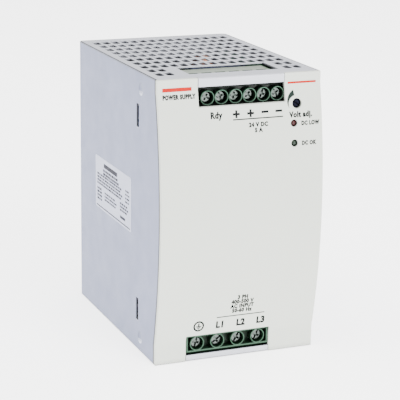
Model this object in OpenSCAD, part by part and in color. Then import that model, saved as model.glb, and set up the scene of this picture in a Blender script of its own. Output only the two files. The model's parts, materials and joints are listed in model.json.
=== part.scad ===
// DIN rail power supply, built as an assembly of separate pieces.
// Frame: origin on the base at the middle of the overall width and depth,
// X to the right, Y towards the rail, Z up. The front face looks along -Y.

/* [Case] */
// Overall width of the case
case_w = 74.3; // [74:0.1:76]
// Overall height of the case
case_h = 124; // [123:0.5:126]
// Depth from the flat part of the front to the back wall
case_d = 104; // [103:0.5:106]
// How far the crowned front stands forward of its flat ends
crown_rise = 6; // [5:0.5:7]
// Height of the flat strip at the lower end of the front
flat_low = 9.2; // [9:0.1:10]
// Height of the flat strip at the upper end of the front
flat_high = 5.1; // [4.5:0.1:5.5]
// Thickness of the sheet metal
sheet_t = 0.7; // [0.7:0.1:1]
// Thickness of the moulded front
cover_t = 1.8; // [1.6:0.1:2]
// Outside radius of the upright bends at the back
bend_r = 2.5; // [2:0.1:3]

/* [Vents] */
// Column pitch of the vent slots
vent_pitch_x = 4.5; // [4.4:0.05:4.6]
// Row pitch of the vent slots
vent_pitch_y = 9; // [8.9:0.05:9.1]
// Width of one vent slot
vent_w = 3.2; // [2.5:0.1:3.2]
// Length of one vent slot
vent_l = 7.5; // [6.5:0.1:7.5]
// Columns of slots on each side of the middle one
vent_side_cols = 7; // [5:1:7]
// Rows of slots behind the wiring cut-out
vent_rows = 8; // [5:1:8]

/* [Output terminals] */
// Pitch of the output terminals
out_pitch = 6.35; // [6.3:0.05:6.35]
// Middle of the output terminal row across the case
out_x = 1.2; // [1:0.1:1.4]
// Height of the output screw axes
out_z = 115.4; // [115:0.1:115.6]

/* [Input terminals] */
// Pitch of the input terminals
in_pitch = 9.5; // [9.4:0.1:9.5]
// Middle of the input terminal row across the case
in_x = -3.3; // [-3.5:0.1:-3.1]
// Height of the input screw axes
in_z = 7.6; // [7.5:0.1:7.8]

/* [Indicators] */
// Place of the trimmer and the lamps across the case
trimmer_x = 25.6; // [25:0.1:26]
// Height of the trimmer
trimmer_z = 110.9; // [110.5:0.1:111]
// Place of the lamps across the case
lamp_x = 23.9; // [23.7:0.1:24.2]
// Height of the low-voltage lamp
lamp_low_z = 102.7; // [102:0.1:103]
// Height of the output lamp
lamp_ok_z = 94.3; // [94:0.1:95]

/* [Rail clip] */
// Height of a top-hat mounting rail across its flanges
rail_w = 35; // [35:0.1:35.3]
// Height of the rail's centre line
rail_z = 62; // [61:0.5:63]
// How far the clip stands behind the back wall
clip_d = 8.8; // [8.6:0.1:9]

/* [Hidden] */
$fn = 48;
eps = 0.01;

// Case planes
half_w = case_w / 2;
total_d = crown_rise + case_d + clip_d;
front_y = crown_rise - total_d / 2;
back_y = front_y + case_d;
inner_w = half_w - sheet_t;
inner_back = back_y - sheet_t;
cover_back = front_y + cover_t;
panel_gap = 0.1;
flange_h = 7;

// Crown of the front: one arc between the two flat strips
crown_z0 = flat_low;
crown_z1 = case_h - flat_high;
crown_half = (crown_z1 - crown_z0) / 2;
crown_cz = (crown_z0 + crown_z1) / 2;
crown_r = (crown_half * crown_half + crown_rise * crown_rise) / (2 * crown_rise);
crown_cy = front_y - crown_rise + crown_r;
function crown_y(z) = (z < crown_z0 || z > crown_z1)
  ? front_y
  : crown_cy - sqrt(crown_r * crown_r - (z - crown_cz) * (z - crown_cz));

// Windows in the front: left, right, lower and upper edges
out_win = [-19.05, 20.25, 112, 120];
in_win = [-22.95, 16.05, 3, 11.5];

// Wiring cut-outs in the top and bottom: left, right, front and back edges
top_cut = [-19.15, 21.85, front_y + 9.5, front_y + 26.2];
low_cut = [-23.3, 17.4, front_y + 9.5, front_y + 26.2];

// Vents: centre of the first row behind the cut-outs, and metal left beside a cut-out
vent_row0 = front_y + 31;
vent_margin = 2.5;

// Side catches of the front
catch_y = front_y + 21.5;
catch_w = 2.5;
catch_l = 10;
catch_z = [13.5, 100];

// Pressed locating dimples in the side walls
dimple_y = front_y + 19;
dimple_z = [6.5, 117];
dimple_r = 2.8;
dimple_deep = 0.45;

// Rating label on the left wall: front edge, back edge, lower edge, upper edge
label_box = [back_y - 73.5, back_y - 25, 51, 75.5];
label_t = 0.1;

// Fasteners
m3_r = 1.5;
m3_head_r = 2.7;
m3_sink = sheet_t;
case_screw_x = 25;
case_screw_z = [6, case_h - 6];
bracket_screw_x = 15.5;
bracket_screw_z = [50, 87];

// Terminals along Y: ring face, head, shoulder, chamber, bar, clamp, housing
ring_y = front_y + 0.2;
head_y0 = front_y + 2.5;
head_y1 = front_y + 4.5;
shoulder_y = front_y + 4.8;
chamber_y0 = front_y + 5.6;
chamber_y1 = front_y + 19.2;
bar_y = front_y + 12.4;
bar_t = 1;
screw_tip_y = bar_y - 0.3;
clamp_y0 = front_y + 9.4;
clamp_y1 = front_y + 18.8;
clamp_front_t = 1.8;
clamp_back_t = 1;
block_back_y = front_y + 26.2;
block_front_y = front_y + 4.6;
chamber_half_z = 3.3;
clamp_half_z = 3;
leg_z0 = -4.6;
leg_t = 0.8;
wire_w = 4.6;

// Boards
board_t = 1.6;
tboard_y = block_back_y;
tboard_x = 33.5;
mboard_x = 31;
mboard_y = [tboard_y + board_t + 0.2, 46];
mboard_z = [6, 118];
iboard_y = front_y + 5.9;
iboard_box = [21.5, 34, 88, 119];
standoff_y = [-21.5, 43.3];
standoff_z = [10.2, 114];
post_x = 31.5;
post_z = [90.6, 116.4];

// Rail clip
plate_y = back_y + 2.8;
clip_y = back_y + clip_d;
rail_top = rail_z + rail_w / 2;
rail_low = rail_z - rail_w / 2;
guide_x = 13.2;
lip_x = 10.8;
latch_y0 = plate_y + 0.3;
latch_y1 = plate_y + 2;
latch_z0 = 6.5;
spring_z0 = 19.5;
spring_z1 = 34;
spring_y = plate_y + 2.4;
spring_r = 1.9;
wire_r = 0.3;
spring_turns = 7;

/* ---------- helpers ---------- */

module block(lo, hi) {
  translate(lo) cube(hi - lo);
}

module ycyl(r, y0, y1) {
  translate([0, y0, 0]) rotate([-90, 0, 0]) cylinder(r = r, h = y1 - y0);
}

module xcyl(r, x0, x1) {
  translate([x0, 0, 0]) rotate([0, 90, 0]) cylinder(r = r, h = x1 - x0);
}

// Draws a flat Y-Z outline as a slab from x0 to x1
module slab_x(x0, x1) {
  translate([x0, 0, 0]) rotate([90, 0, 90]) linear_extrude(x1 - x0) children();
}

// Outline of the case seen from the side, moved back by off
module side_outline(off) {
  translate([front_y + off, 0]) square([case_d - off, case_h]);
  intersection() {
    translate([crown_cy + off, crown_cz]) circle(r = crown_r);
    translate([front_y - crown_rise + off - 1, crown_z0])
      square([crown_rise + 2, crown_z1 - crown_z0]);
  }
}

// Rectangle in plan with its two back corners rounded
module back_rounded(hw, y0, y1, r) {
  translate([-hw, y0]) square([2 * hw, y1 - y0 - r]);
  translate([r - hw, y1 - r - eps]) square([2 * (hw - r), r + eps]);
  for (s = [-1, 1]) translate([s * (hw - r), y1 - r]) circle(r = r);
}

// Rectangle with four rounded corners, centred
module round_rect(w, h, r) {
  square([w - 2 * r, h], center = true);
  square([w, h - 2 * r], center = true);
  for (sx = [-1, 1], sy = [-1, 1]) translate([sx * (w / 2 - r), sy * (h / 2 - r)]) circle(r = r);
}

module slot_2d(w, l) {
  square([w, l - w], center = true);
  for (s = [-1, 1]) translate([0, s * (l - w) / 2]) circle(r = w / 2, $fn = 24);
}

// Countersunk screw, head flush with Y = 0, shank towards -Y
module countersunk_screw(shank) {
  difference() {
    union() {
      ycyl(m3_r, -shank, -m3_sink + eps);
      translate([0, -m3_sink, 0]) rotate([-90, 0, 0]) cylinder(r1 = m3_r, r2 = m3_head_r - 0.1, h = m3_sink);
    }
    for (a = [0, 90]) rotate([0, a + 20, 0]) block([-1.6, -1.1, -0.4], [1.6, 1, 0.4]);
  }
}

module countersunk_hole(depth) {
  ycyl(m3_r, -depth, 0);
  translate([0, -m3_sink, 0]) rotate([-90, 0, 0]) cylinder(r1 = m3_r, r2 = m3_head_r, h = m3_sink);
  ycyl(m3_head_r, -eps, 1);
}

/* ---------- sheet metal case ---------- */

module side_catch_slots(grow) {
  for (z = catch_z)
    for (s = [-1, 1])
      block([min(s * (inner_w - 1), s * (half_w + 1)), catch_y - grow, z - grow],
            [max(s * (inner_w - 1), s * (half_w + 1)), catch_y + catch_w + grow, z + catch_l + grow]);
}

module side_dimples() {
  ball_r = (dimple_r * dimple_r + dimple_deep * dimple_deep) / (2 * dimple_deep);
  for (z = dimple_z)
    for (s = [-1, 1])
      translate([s * (half_w - dimple_deep + ball_r), dimple_y, z]) sphere(r = ball_r);
}

module chassis() {
  color([0.76, 0.77, 0.80]) difference() {
    intersection() {
      linear_extrude(case_h) back_rounded(half_w, front_y - crown_rise - 1, back_y, bend_r);
      slab_x(-half_w - 1, half_w + 1) side_outline(cover_t + panel_gap);
    }
    translate([0, 0, -1]) linear_extrude(case_h + 2)
      back_rounded(inner_w, front_y - crown_rise - 2, inner_back, bend_r - sheet_t);
    side_catch_slots(0);
    side_dimples();
    for (x = [-1, 1] * case_screw_x)
      for (z = case_screw_z) translate([x, back_y, z]) countersunk_hole(3);
    for (x = [-1, 1] * bracket_screw_x)
      for (z = bracket_screw_z) translate([x, 0, z]) ycyl(m3_r, inner_back - 1, back_y + 1);
  }
}

module vent_field(cut) {
  room = vent_w / 2 + vent_margin;
  for (col = [-vent_side_cols : vent_side_cols]) {
    x = col * vent_pitch_x;
    for (row = [0 : vent_rows - 1])
      translate([x, vent_row0 + row * vent_pitch_y]) slot_2d(vent_w, vent_l);
    if (x + room < cut[0] || x - room > cut[1])
      for (row = [-2, -1]) translate([x, vent_row0 + row * vent_pitch_y]) slot_2d(vent_w, vent_l);
  }
}

// Cross-section of a flat panel whose front edge is bent down, outer face on Z = 0
module bent_front(y0, drop, r) {
  translate([y0 + r, -sheet_t]) square([cover_t + 2 - r, sheet_t]);
  translate([y0, -drop]) square([sheet_t, drop - r]);
  intersection() {
    translate([y0 + r, -r]) circle(r = r);
    translate([y0, -r]) square([r, r]);
  }
}

// A vented panel, drawn as the top one: side and back flanges hang down inside the walls
module vent_panel(cut, flange_x0, flange_x1, drop) {
  edge = inner_w - panel_gap;
  y0 = cover_back + panel_gap;
  y1 = inner_back - panel_gap;
  difference() {
    union() {
      translate([0, 0, -sheet_t]) linear_extrude(sheet_t) difference() {
        back_rounded(edge, y0, y1, bend_r - sheet_t);
        vent_field(cut);
      }
      slab_x(flange_x0, flange_x1) bent_front(front_y, drop, 0.9);
      for (s = [-1, 1])
        block([min(s * edge, s * (edge - sheet_t)), front_y + 8, -flange_h],
              [max(s * edge, s * (edge - sheet_t)), y1 - bend_r, -sheet_t + eps]);
      block([-edge + 4, y1 - sheet_t, -flange_h - 2.5], [edge - 4, y1, -sheet_t + eps]);
    }
    block([cut[0], cut[2], -sheet_t - 1], [cut[1], cut[3], 1]);
    for (x = [-1, 1] * case_screw_x) translate([x, 0, -6]) ycyl(m3_r, y1 - 3, y1 + 1);
  }
}

module top_vent_panel() {
  color([0.79, 0.79, 0.81]) translate([0, 0, case_h])
    vent_panel(top_cut, out_win[0] + 0.1, out_win[1] - 0.1, case_h - out_win[3] - 0.15);
}

module bottom_vent_panel() {
  color([0.79, 0.79, 0.81]) mirror([0, 0, 1])
    vent_panel(low_cut, in_win[0] + 0.1, in_win[1] - 0.1, in_win[2] - 0.15);
}

module countersunk_screws() {
  color([0.80, 0.80, 0.82]) {
    for (x = [-1, 1] * case_screw_x)
      for (z = case_screw_z) translate([x, back_y, z]) countersunk_screw(4);
    for (x = [-1, 1] * bracket_screw_x)
      for (z = bracket_screw_z) translate([x, plate_y, z]) countersunk_screw(5);
  }
}

module rating_label() {
  color([0.88, 0.89, 0.93])
    translate([-half_w - label_t, (label_box[0] + label_box[1]) / 2, (label_box[2] + label_box[3]) / 2])
      rotate([90, 0, 90]) linear_extrude(label_t)
        round_rect(label_box[1] - label_box[0], label_box[3] - label_box[2], 1);
}

module insulation_sheet() {
  color([0.93, 0.92, 0.86]) difference() {
    block([inner_w - 1.3, mboard_y[0] - 1, flange_h + 0.5],
          [inner_w - 1, mboard_y[1] + 1, case_h - flange_h - 0.5]);
    for (y = standoff_y, z = standoff_z) translate([0, y, z]) xcyl(3, inner_w - 3, inner_w);
  }
}

/* ---------- moulded front ---------- */

module window_cut(win, z0, z1) {
  block([win[0], front_y - crown_rise - 5, z0], [win[1], front_y + 12, z1]);
}

// Stiffening ribs and catch arms on the inside of the front, one side
module cover_side(s) {
  rib = inner_w - 0.25;
  rib_t = 1.5;
  arm_x = [rib - rib_t, rib];
  tooth_x = half_w - 0.65;
  intersection() {
    slab_x(min(s * arm_x[0], s * arm_x[1]), max(s * arm_x[0], s * arm_x[1])) difference() {
      side_outline(cover_t - eps);
      side_outline(cover_t + 5);
    }
    block([-half_w, front_y - crown_rise, 9], [half_w, front_y + 20, case_h - 8.5]);
  }
  for (z = catch_z) {
    block([min(s * arm_x[0], s * arm_x[1]), cover_back - eps, z + 0.4],
          [max(s * arm_x[0], s * arm_x[1]), catch_y + catch_w - 0.7, z + catch_l - 0.4]);
    block([min(s * arm_x[0], s * tooth_x), catch_y + 0.2, z + 0.4],
          [max(s * arm_x[0], s * tooth_x), catch_y + catch_w - 0.7, z + catch_l - 0.4]);
  }
}

module front_cover() {
  color([0.87, 0.88, 0.86]) difference() {
    union() {
      slab_x(-half_w, half_w) difference() {
        side_outline(0);
        side_outline(cover_t);
        translate([front_y + cover_t, -1]) square([case_d, case_h + 2]);
      }
      for (s = [-1, 1]) cover_side(s);
      for (z = post_z) translate([post_x, 0, z]) ycyl(1.9, crown_y(z) + cover_t - 0.6, iboard_y);
    }
    window_cut(out_win, out_win[2], case_h + 1);
    window_cut(in_win, -1, in_win[3]);
    translate([trimmer_x, 0, trimmer_z]) ycyl(2.1, front_y - 10, front_y + 1.5);
    for (z = [lamp_low_z, lamp_ok_z])
      translate([lamp_x, 0, z]) ycyl(1.5, front_y - 10, front_y + 1.5);
    for (z = post_z) translate([post_x, 0, z]) ycyl(0.8, iboard_y - 4.5, iboard_y + 1);
  }
}

/* ---------- rail clip ---------- */

// Side view of the bracket above the latch: plate and the fixed hook over the rail
module bracket_outline() {
  top = rail_top + 12.5;
  polygon([
    [back_y, 8], [plate_y, 8], [plate_y, rail_top + 0.3], [plate_y + 1.8, rail_top + 0.3],
    [plate_y + 1.8, rail_top - 2.2], [plate_y + 2.6, rail_top - 3], [clip_y, rail_top + 0.4],
    [clip_y, rail_top + 4], [clip_y - 2.5, rail_top + 6.5], [plate_y, top - 1.5],
    [plate_y - 1, top], [back_y, top]
  ]);
}

module rail_bracket() {
  width = 20;
  color([0.16, 0.17, 0.18]) difference() {
    union() {
      slab_x(-width, width) bracket_outline();
      for (s = [-1, 1]) {
        block([min(s * guide_x, s * (guide_x + 3)), plate_y - eps, 8],
              [max(s * guide_x, s * (guide_x + 3)), latch_y1 + 1.4, 40]);
        block([min(s * lip_x, s * (guide_x + 3)), latch_y1 + 0.3, 8],
              [max(s * lip_x, s * (guide_x + 3)), latch_y1 + 1.4, 40]);
      }
      block([-2.6, plate_y - eps, spring_z0 - 2], [2.6, spring_y + 2.2, spring_z0]);
      translate([0, spring_y, spring_z0 - eps]) cylinder(r = 1.2, h = 2.2);
    }
    // Relief across the hook, so that it grips the rail with two noses
    block([-8, plate_y, rail_top - 5], [8, clip_y + 1, rail_top + 9]);
    for (x = [-1, 1] * bracket_screw_x)
      for (z = bracket_screw_z) translate([x, plate_y, z]) countersunk_hole(4);
  }
}

// Side view of the latch nose, which grips behind the lower flange of the rail
module latch_nose_outline() {
  polygon([
    [latch_y0, 36.5], [clip_y - 1.5, 36.5], [clip_y - 0.4, 38], [clip_y - 0.4, 42.2],
    [latch_y1 + 1, rail_low + 2.2], [latch_y1, rail_low + 2.2], [latch_y1, rail_low - 0.3],
    [latch_y0, rail_low - 0.3]
  ]);
}

module rail_latch() {
  color([0.74, 0.75, 0.77]) difference() {
    union() {
      block([-guide_x + 0.3, latch_y0, latch_z0 + 5], [guide_x - 0.3, latch_y1, 38]);
      slab_x(-lip_x + 0.5, lip_x - 0.5) latch_nose_outline();
      block([-7, latch_y0, latch_z0], [7, latch_y1, latch_z0 + 6]);
      block([-7, latch_y0, latch_z0], [7, latch_y1 + 2.2, latch_z0 + 1.6]);
      block([-2.6, latch_y0, spring_z1], [2.6, spring_y + 2.2, 37]);
    }
    block([-3, plate_y, spring_z0 - 5], [3, clip_y + 1, spring_z1]);
    block([-3.5, plate_y, latch_z0 + 2.6], [3.5, clip_y, latch_z0 + 4.4]);
  }
}

// Compression spring: a round wire swept along a helix whose end turns lie close
spring_rings = spring_turns * 14;
spring_sides = 8;
function spring_height(t) = let (e = 1 / spring_turns, low = wire_r,
    high = spring_z1 - spring_z0 - 0.1 - wire_r, lead = 2 * wire_r + 0.05)
  t < e ? low + lead * t / e
  : t > 1 - e ? high - lead * (1 - t) / e
  : low + lead + (high - low - 2 * lead) * (t - e) / (1 - 2 * e);
function spring_point(i, j) = let (t = i / spring_rings, a = 360 * spring_turns * t,
    b = 360 * j / spring_sides, r = spring_r + wire_r * cos(b))
  [r * cos(a), r * sin(a), spring_height(t) + wire_r * sin(b)];

module latch_spring() {
  points = [for (i = [0 : spring_rings], j = [0 : spring_sides - 1]) spring_point(i, j)];
  sides = [for (i = [0 : spring_rings - 1], j = [0 : spring_sides - 1])
    let (k = (j + 1) % spring_sides, a = i * spring_sides, b = a + spring_sides)
      [a + j, b + j, b + k, a + k]];
  start = [[for (j = [0 : spring_sides - 1]) j]];
  finish = [[for (j = [spring_sides - 1 : -1 : 0]) spring_rings * spring_sides + j]];
  color([0.62, 0.63, 0.66]) translate([0, spring_y, spring_z0])
    polyhedron(points = points, faces = concat(sides, start, finish));
}

/* ---------- terminals ---------- */

// Settings of one terminal row: pitch, count, ring outer radius, well radius, head radius,
// shank radius, clamp width, bar half width, height of the wire side, left and right ends of the body
out_row = [out_pitch, 6, 3.1, 2.7, 2.35, 1.5, 5.05, 1.3, 7.2, -20.4, 19.9];
in_row = [in_pitch, 4, 3.3, 2.85, 2.5, 2, 7.4, 2.2, 6.2, -19.35, 19.35];
function row_x(row, i) = (i - (row[1] + 1) / 2) * row[0];

// One terminal row around its own screw axes, wires entering from +Z
module terminal_housing(row, front) {
  low = leg_z0 - 0.9;
  difference() {
    union() {
      block([row[9], block_front_y, low], [row[10], block_back_y, row[8]]);
      children(0);
      for (i = [1 : row[1]]) translate([row_x(row, i), 0, 0]) ycyl(row[2], front, block_front_y + eps);
    }
    for (i = [1 : row[1]]) translate([row_x(row, i), 0, 0]) {
      ycyl(row[3], front - 1, shoulder_y);
      ycyl(row[5] + 0.3, shoulder_y - eps, chamber_y0 + eps);
      block([-row[6] / 2 - 0.3, chamber_y0, -chamber_half_z], [row[6] / 2 + 0.3, chamber_y1, chamber_half_z]);
      block([-wire_w / 2, bar_y + bar_t, chamber_half_z - eps],
            [wire_w / 2, clamp_y1 - clamp_back_t, row[8] + 1]);
      block([-row[7] - 0.1, bar_y - 0.1, leg_z0 - 0.1],
            [row[7] + 0.1, bar_y + bar_t + 0.1, -chamber_half_z + eps]);
      block([-row[7] - 0.1, bar_y, leg_z0 - 0.1], [row[7] + 0.1, block_back_y + 1, leg_z0 + leg_t + 0.1]);
    }
  }
}

// Current bars: an upright bar inside each clamp, a leg under it and a solder pin
module terminal_contacts(row) {
  color([0.80, 0.68, 0.38]) for (i = [1 : row[1]]) translate([row_x(row, i), 0, 0]) {
    block([-row[7], bar_y, leg_z0], [row[7], bar_y + bar_t, clamp_half_z]);
    block([-row[7], bar_y + bar_t - eps, leg_z0], [row[7], block_back_y - 0.2, leg_z0 + leg_t]);
    block([-0.6, block_back_y - 0.2 - eps, leg_z0], [0.6, tboard_y + board_t + 1.2, leg_z0 + leg_t]);
  }
}

// Combination-drive screw turned by spin about its axis
module terminal_screw(row, spin) {
  color([0.82, 0.83, 0.84]) rotate([0, spin, 0]) difference() {
    union() {
      ycyl(row[4], head_y0 + 0.35, head_y1);
      translate([0, head_y0, 0]) rotate([-90, 0, 0]) cylinder(r1 = row[4] - 0.35, r2 = row[4], h = 0.36);
      ycyl(row[5], head_y1 - eps, screw_tip_y);
    }
    block([-row[4] - 1, head_y0 - 1, -0.4], [row[4] + 1, head_y0 + 0.9, 0.4]);
    for (a = [0, 90]) rotate([0, a, 0]) block([-1.5, head_y0 - 1, -0.5], [1.5, head_y0 + 1.2, 0.5]);
  }
}

// Clamp cage: a closed band that the screw draws towards the front
module terminal_clamp(row) {
  wall = row[0] > 8 ? 1 : 0.7;
  half = row[6] / 2;
  color([0.72, 0.73, 0.75]) difference() {
    block([-half, clamp_y0, -clamp_half_z], [half, clamp_y1, clamp_half_z]);
    block([wall - half, clamp_y0 + clamp_front_t, -clamp_half_z - 1],
          [half - wall, clamp_y1 - clamp_back_t, clamp_half_z + 1]);
    ycyl(row[5] + 0.06, clamp_y0 - 1, clamp_y0 + clamp_front_t + 1);
  }
}

module at_output() {
  translate([out_x, 0, out_z]) children();
}

module at_input() {
  translate([in_x, 0, in_z]) mirror([0, 0, 1]) children();
}

// Low wall behind the front that closes the output block off from the inside of the case
module output_rim() {
  rim_t = 0.6;
  difference() {
    block([out_row[9], cover_back + 0.3, leg_z0 - 0.9], [out_row[10], block_front_y + eps, out_row[8]]);
    block([out_row[9] + rim_t, cover_back, leg_z0 - 0.9 + rim_t],
          [out_row[10] - rim_t, block_front_y + eps, out_row[8] - rim_t]);
  }
}

module output_block() {
  color([0.17, 0.27, 0.21]) at_output() terminal_housing(out_row, ring_y) output_rim();
}

// Raised rim around the input wells
module input_rim() {
  rim_z = [-3.8, 3.75];
  difference() {
    block([-19.35, ring_y + 0.5, rim_z[0]], [19.35, block_front_y + eps, rim_z[1]]);
    block([-18.5, ring_y, rim_z[0] + 0.75], [18.5, block_front_y + eps, rim_z[1] - 0.75]);
  }
}

module input_block() {
  color([0.45, 0.56, 0.49]) at_input() terminal_housing(in_row, ring_y + 0.5) input_rim();
}

module output_contacts() {
  at_output() terminal_contacts(out_row);
}

module input_contacts() {
  at_input() terminal_contacts(in_row);
}

// Resting turn of each screw, as left by the last wiring
out_spin = [25, 70, 5, 40, 110, 60];
in_spin = [75, 35, 60, 65];

module output_screw(i) {
  at_output() translate([row_x(out_row, i), 0, 0]) terminal_screw(out_row, out_spin[i - 1]);
}

module output_clamp(i) {
  at_output() translate([row_x(out_row, i), 0, 0]) terminal_clamp(out_row);
}

module input_screw(i) {
  at_input() translate([row_x(in_row, i), 0, 0]) terminal_screw(in_row, in_spin[i - 1]);
}

module input_clamp(i) {
  at_input() translate([row_x(in_row, i), 0, 0]) terminal_clamp(in_row);
}

/* ---------- trimmer and lamps ---------- */

trimmer_front = front_y + 1.2;

module trimmer_body() {
  color([0.10, 0.20, 0.45]) translate([trimmer_x, 0, trimmer_z]) difference() {
    union() {
      block([-3.4, trimmer_front, -3.4], [3.4, iboard_y - 0.6, 3.4]);
      for (sx = [-1, 1], sz = [-1, 1])
        translate([sx * 2.5, 0, sz * 2.5]) ycyl(0.6, iboard_y - 0.7, iboard_y);
    }
    ycyl(1.56, trimmer_front - 1, trimmer_front + 3);
  }
}

module trimmer_rotor() {
  color([0.08, 0.08, 0.09]) translate([trimmer_x, 0, trimmer_z]) difference() {
    ycyl(1.5, crown_y(trimmer_z) + 0.9, trimmer_front + 2.7);
    rotate([0, 35, 0]) block([-2, front_y - 5, -0.3], [2, crown_y(trimmer_z) + 1.7, 0.3]);
  }
}

// Round-nosed lamp whose tip stops just inside the front face
module lamp(z) {
  tip = crown_y(z) + 0.25;
  lens_r = 1.4;
  translate([lamp_x, 0, z]) {
    ycyl(lens_r, tip + lens_r, iboard_y - 2);
    translate([0, tip + lens_r, 0]) sphere(r = lens_r);
    ycyl(1.75, iboard_y - 2.6, iboard_y - 1.6);
    for (s = [-1, 1])
      block([s * 1.27 - 0.25, iboard_y - 1.7, -0.25], [s * 1.27 + 0.25, iboard_y + board_t + 1, 0.25]);
  }
}

module lamp_dc_low() {
  color([0.30, 0.06, 0.06]) lamp(lamp_low_z);
}

module lamp_dc_ok() {
  color([0.06, 0.25, 0.10]) lamp(lamp_ok_z);
}

/* ---------- boards ---------- */

module main_pcb() {
  color([0.10, 0.36, 0.22]) difference() {
    block([mboard_x, mboard_y[0], mboard_z[0]], [mboard_x + board_t, mboard_y[1], mboard_z[1]]);
    for (y = standoff_y, z = standoff_z) translate([0, y, z]) xcyl(1.7, mboard_x - 1, mboard_x + 3);
  }
}

module terminal_pcb() {
  color([0.10, 0.36, 0.22]) difference() {
    block([-tboard_x, tboard_y, 2], [tboard_x, tboard_y + board_t, 116]);
    at_output() for (i = [1 : 6]) translate([row_x(out_row, i), 0, leg_z0 + leg_t / 2])
      ycyl(0.9, tboard_y - 1, tboard_y + 3);
    at_input() for (i = [1 : 4]) translate([row_x(in_row, i), 0, leg_z0 + leg_t / 2])
      ycyl(0.9, tboard_y - 1, tboard_y + 3);
    for (x = [-20, -10, 0, 10, 20]) translate([x, 0, 62]) rotate([-90, 0, 0])
      translate([0, 0, tboard_y - 1]) linear_extrude(board_t + 2) slot_2d(4, 60);
  }
}

module indicator_pcb() {
  color([0.10, 0.36, 0.22]) difference() {
    block([iboard_box[0], iboard_y, iboard_box[2]], [iboard_box[1], iboard_y + board_t, iboard_box[3]]);
    for (z = post_z) translate([post_x, 0, z]) ycyl(1.1, iboard_y - 1, iboard_y + 3);
    for (z = [lamp_low_z, lamp_ok_z], s = [-1, 1])
      translate([lamp_x + s * 1.27, 0, z]) ycyl(0.45, iboard_y - 1, iboard_y + 3);
  }
}

module board_standoffs() {
  color([0.78, 0.70, 0.45]) for (y = standoff_y, z = standoff_z) translate([0, y, z])
    difference() {
      translate([mboard_x + board_t, 0, 0]) rotate([0, 90, 0])
        cylinder(r = 2.8, h = inner_w - mboard_x - board_t, $fn = 6);
      xcyl(1.25, mboard_x, inner_w - 1);
    }
}

module pan_screw(head_r, shank_r, head_h, length) {
  difference() {
    union() {
      cylinder(r = head_r, h = head_h);
      translate([0, 0, -length]) cylinder(r = shank_r, h = length + eps);
    }
    for (a = [0, 90])
      rotate([0, 0, a]) translate([-head_r * 0.6, -0.3, head_h - 0.9]) cube([head_r * 1.2, 0.6, 2]);
  }
}

module board_screws() {
  color([0.80, 0.80, 0.82]) {
    for (y = standoff_y, z = standoff_z)
      translate([mboard_x, y, z]) rotate([0, -90, 0]) pan_screw(2.6, 1.2, 1.8, 4);
    for (z = post_z)
      translate([post_x, iboard_y + board_t, z]) rotate([-90, 0, 0]) pan_screw(1.9, 0.75, 1.4, 4);
  }
}

module board_links() {
  color([0.12, 0.12, 0.13]) for (z = [[18, 48], [101, 108]])
    block([mboard_x - 3.5, tboard_y + board_t, z[0]], [mboard_x, tboard_y + board_t + 4.2, z[1]]);
}

/* ---------- power parts on the main board ---------- */

module fuse_at(y) {
  translate([26, y, 8]) {
    for (z = [0, 14.5]) translate([0, 0, z]) cylinder(r = 2.6, h = 5.5);
    translate([0, 0, 1]) cylinder(r = 2.3, h = 18);
    for (z = [2, 16.5]) block([0, -0.4, z], [mboard_x - 26, 0.4, z + 1.5]);
  }
}

module input_fuses() {
  color([0.85, 0.85, 0.80]) for (y = [-14.5, -7, 0.5]) fuse_at(y);
}

module varistors() {
  color([0.10, 0.30, 0.62]) for (y = [-14.5, -7, 0.5]) translate([22, y, 40]) {
    ycyl(7, -2.1, 2.1);
    for (z = [-3.75, 3.75]) block([5, -0.4, z - 0.4], [mboard_x - 22, 0.4, z + 0.4]);
  }
}

module ring_x(r0, r1, x0, x1) {
  difference() {
    xcyl(r1, x0, x1);
    xcyl(r0, x0 - 1, x1 + 1);
  }
}

module choke_core() {
  color([0.25, 0.25, 0.27]) translate([0, 19.5, 22]) ring_x(7.5, 12, 17, 27);
}

// Two separate windings, each over part of the ring
module choke_windings() {
  color([0.72, 0.38, 0.18]) translate([0, 19.5, 22]) for (s = [0, 180]) rotate([s, 0, 0]) {
    intersection() {
      difference() {
        ring_x(6, 13.5, 15.5, 28.5);
        ring_x(7.5 - eps, 12 + eps, 17 - eps, 27 + eps);
      }
      block([10, -9.5, 2.2], [30, 9.5, 16]);
    }
    block([28.5 - eps, -5, 8.5], [mboard_x, -4, 9.5]);
    block([28.5 - eps, 4, 8.5], [mboard_x, 5, 9.5]);
  }
}

module x_capacitors() {
  color([0.90, 0.76, 0.20]) for (z = [13, 31.2]) difference() {
    block([15, 35, z], [mboard_x, 44.5, z + 18]);
    block([mboard_x - 0.6, 36, z + 1], [mboard_x + 1, 43.5, z + 17]);
  }
}

module bridge_rectifier() {
  color([0.13, 0.13, 0.14]) {
    difference() {
      block([9, 4, 40.5], [27, 33, 45.5]);
      translate([13, 18.5, 39]) cylinder(r = 1.7, h = 8);
    }
    for (y = [8, 15, 22, 29]) block([27 - eps, y - 0.5, 42.5], [mboard_x, y + 0.5, 43.5]);
  }
}

module can_capacitor(r, x0, x1) {
  difference() {
    union() {
      xcyl(r, x0, x1 - 2.4);
      xcyl(r - 0.6, x1 - 2.4 - eps, x1 - 1.6);
      xcyl(r, x1 - 1.6 - eps, x1);
    }
    for (a = [0, 60, 120]) rotate([a, 0, 0]) block([x0 - 1, -r * 0.7, -0.25], [x0 + 0.4, r * 0.7, 0.25]);
  }
}

module bulk_capacitors() {
  color([0.10, 0.14, 0.30]) for (z = [60.5, 84.5]) translate([0, 34.5, z]) can_capacitor(11, -14, mboard_x);
}

module primary_heat_sink() {
  color([0.74, 0.75, 0.76]) {
    block([-25, -16.5, 51], [28.5, -13.5, 95]);
    for (k = [0 : 5]) block([-25 + k * 8.5, -22.5, 51], [-23.2 + k * 8.5, -16.5 + eps, 95]);
  }
}

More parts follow.
